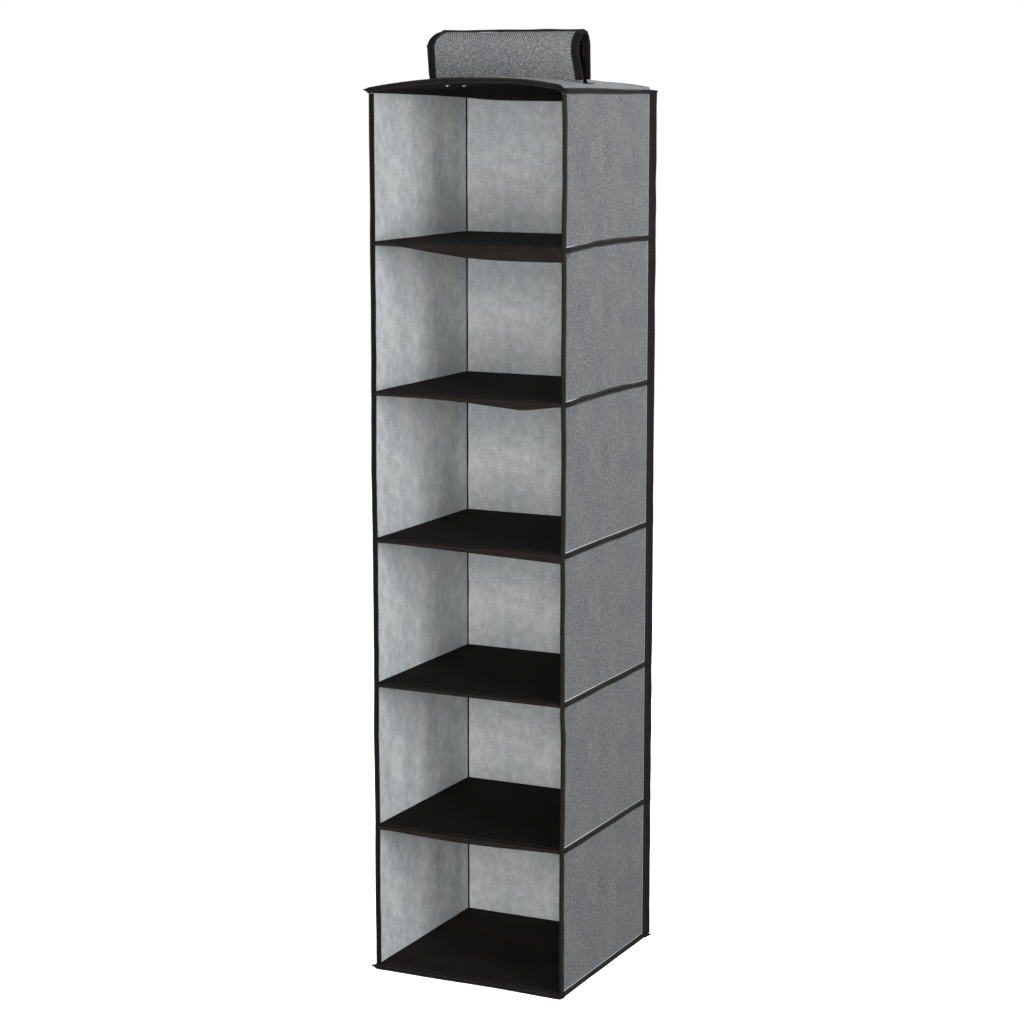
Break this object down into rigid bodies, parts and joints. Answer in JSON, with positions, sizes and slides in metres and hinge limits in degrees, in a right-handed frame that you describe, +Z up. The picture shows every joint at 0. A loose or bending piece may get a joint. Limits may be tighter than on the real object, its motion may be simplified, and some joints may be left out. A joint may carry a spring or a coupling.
{
  "type": "hanging shoe organizer",
  "caption": "Hanging fabric shoe and clothes organizer: open-fronted tiers between stiffened shelves under a wide strap that wraps a closet rod; each tier folds flat.",
  "frame": {"origin": "centre of the rod loop, on the closet rod's axis, halfway along the strap", "axes": "+X along the rod towards the right side wall seen from the open front, -Y out of the open front, +Z up"},
  "size_m": [0.302, 0.295, 1.3015],
  "materials": {
    "heather_fabric": "matte",
    "black_nonwoven": "matte",
    "binding_tape": "matte",
    "stiffener_board": "matte",
    "rivet_metal": "satin",
    "hook_and_loop": "matte"
  },
  "bodies": {
    "top": {"top_board": "stiffener_board", "top_cover": "heather_fabric", "top_lining": "black_nonwoven", "top_binding": "binding_tape", "strap_front": "heather_fabric", "strap_front_binding": "binding_tape", "crown_binding": "binding_tape", "strap_tab": "black_nonwoven", "loop_tape": "hook_and_loop", "rivets": "rivet_metal", "washers": "rivet_metal", "left_wall_1": "heather_fabric", "right_wall_1": "heather_fabric", "back_wall_1": "heather_fabric", "corner_binding_1": "binding_tape"},
    "shelf_1": {"shelf_sleeve_1": "black_nonwoven", "shelf_board_1": "stiffener_board", "shelf_binding_1": "binding_tape", "left_wall_2": "heather_fabric", "right_wall_2": "heather_fabric", "back_wall_2": "heather_fabric", "corner_binding_2": "binding_tape"},
    "shelf_2": {"shelf_sleeve_2": "black_nonwoven", "shelf_board_2": "stiffener_board", "shelf_binding_2": "binding_tape", "left_wall_3": "heather_fabric", "right_wall_3": "heather_fabric", "back_wall_3": "heather_fabric", "corner_binding_3": "binding_tape"},
    "shelf_3": {"shelf_sleeve_3": "black_nonwoven", "shelf_board_3": "stiffener_board", "shelf_binding_3": "binding_tape", "left_wall_4": "heather_fabric", "right_wall_4": "heather_fabric", "back_wall_4": "heather_fabric", "corner_binding_4": "binding_tape"},
    "shelf_4": {"shelf_sleeve_4": "black_nonwoven", "shelf_board_4": "stiffener_board", "shelf_binding_4": "binding_tape", "left_wall_5": "heather_fabric", "right_wall_5": "heather_fabric", "back_wall_5": "heather_fabric", "corner_binding_5": "binding_tape"},
    "shelf_5": {"shelf_sleeve_5": "black_nonwoven", "shelf_board_5": "stiffener_board", "shelf_binding_5": "binding_tape", "left_wall_6": "heather_fabric", "right_wall_6": "heather_fabric", "back_wall_6": "heather_fabric", "corner_binding_6": "binding_tape"},
    "base": {"base_sleeve": "black_nonwoven", "base_board": "stiffener_board", "base_binding": "binding_tape"},
    "flap": {"strap_rear": "heather_fabric", "strap_rear_binding": "binding_tape", "hook_tape": "hook_and_loop"}
  },
  "joints": [
    {"name": "tier_1_fold", "type": "slide", "parent": "top", "child": "shelf_1", "axis": [0, 0, 1], "range_m": [0, 0.18], "deforming": ["left_wall_1", "right_wall_1", "back_wall_1", "corner_binding_1"]},
    {"name": "tier_2_fold", "type": "slide", "parent": "shelf_1", "child": "shelf_2", "axis": [0, 0, 1], "range_m": [0, 0.18], "deforming": ["left_wall_2", "right_wall_2", "back_wall_2", "corner_binding_2"]},
    {"name": "tier_3_fold", "type": "slide", "parent": "shelf_2", "child": "shelf_3", "axis": [0, 0, 1], "range_m": [0, 0.18], "deforming": ["left_wall_3", "right_wall_3", "back_wall_3", "corner_binding_3"]},
    {"name": "tier_4_fold", "type": "slide", "parent": "shelf_3", "child": "shelf_4", "axis": [0, 0, 1], "range_m": [0, 0.18], "deforming": ["left_wall_4", "right_wall_4", "back_wall_4", "corner_binding_4"]},
    {"name": "tier_5_fold", "type": "slide", "parent": "shelf_4", "child": "shelf_5", "axis": [0, 0, 1], "range_m": [0, 0.18], "deforming": ["left_wall_5", "right_wall_5", "back_wall_5", "corner_binding_5"]},
    {"name": "tier_6_fold", "type": "slide", "parent": "shelf_5", "child": "base", "axis": [0, 0, 1], "range_m": [0, 0.18], "deforming": ["left_wall_6", "right_wall_6", "back_wall_6", "corner_binding_6"]},
    {"name": "flap_peel", "type": "hinge", "parent": "top", "child": "flap", "pos_m": [0, 0, 0.0176], "axis": [1, 0, 0], "range_deg": [0, 120], "deforming": ["crown_binding"]}
  ]
}
